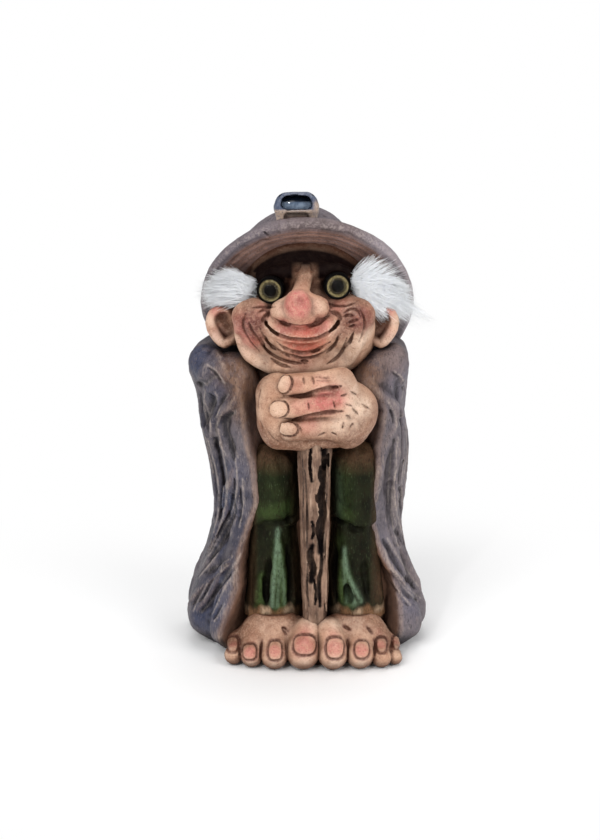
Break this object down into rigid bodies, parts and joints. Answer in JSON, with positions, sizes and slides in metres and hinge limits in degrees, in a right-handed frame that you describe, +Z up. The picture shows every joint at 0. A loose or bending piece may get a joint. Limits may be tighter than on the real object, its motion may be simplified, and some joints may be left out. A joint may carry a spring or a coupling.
{
  "type": "norwegian troll figure",
  "caption": "Standing troll ornament in a miner's helmet with a lamp, chin over hands folded on a staff, in an open cloak, with bare feet, glass eyes and fur tufts at the temples.",
  "frame": {"origin": "on the floor, in the middle of the cloak's flat underside", "axes": "+Z up, the figure faces -Y, +X to the viewer's right"},
  "size_m": [0.0756, 0.0702, 0.1437],
  "materials": {
    "cloak_paint": "cast composition, blue-grey paint with a dark wash, satin lacquer",
    "skin_paint": "cast composition, flesh paint with a brown wash, satin lacquer",
    "trouser_paint": "cast composition, green paint with a dark wash, satin lacquer",
    "staff_paint": "cast composition painted as weathered wood, satin lacquer",
    "helmet_paint": "cast composition, grey-brown paint with a dark wash, satin lacquer",
    "lamp_paint": "cast composition, blue-grey paint, gloss lacquer",
    "lamp_glass": "gloss",
    "eye_glass": "clear, polished",
    "eye_gold": "bright foil",
    "eye_black": "gloss",
    "fur": "white silky fur"
  },
  "bodies": {
    "root": {"cloak": "cloak_paint", "head": "skin_paint", "left_ear": "skin_paint", "right_ear": "skin_paint", "upper_hand": "skin_paint", "under_hand": "skin_paint", "left_foot": "skin_paint", "right_foot": "skin_paint", "left_trouser_leg": "trouser_paint", "right_trouser_leg": "trouser_paint", "staff": "staff_paint", "helmet": "helmet_paint", "lamp_housing": "lamp_paint", "lamp_lens": "lamp_glass", "left_eye_glass": "eye_glass", "right_eye_glass": "eye_glass", "left_eye_iris": "eye_gold", "right_eye_iris": "eye_gold", "left_eye_cup": "eye_black", "right_eye_cup": "eye_black", "left_fur": "fur", "right_fur": "fur"}
  },
  "joints": []
}
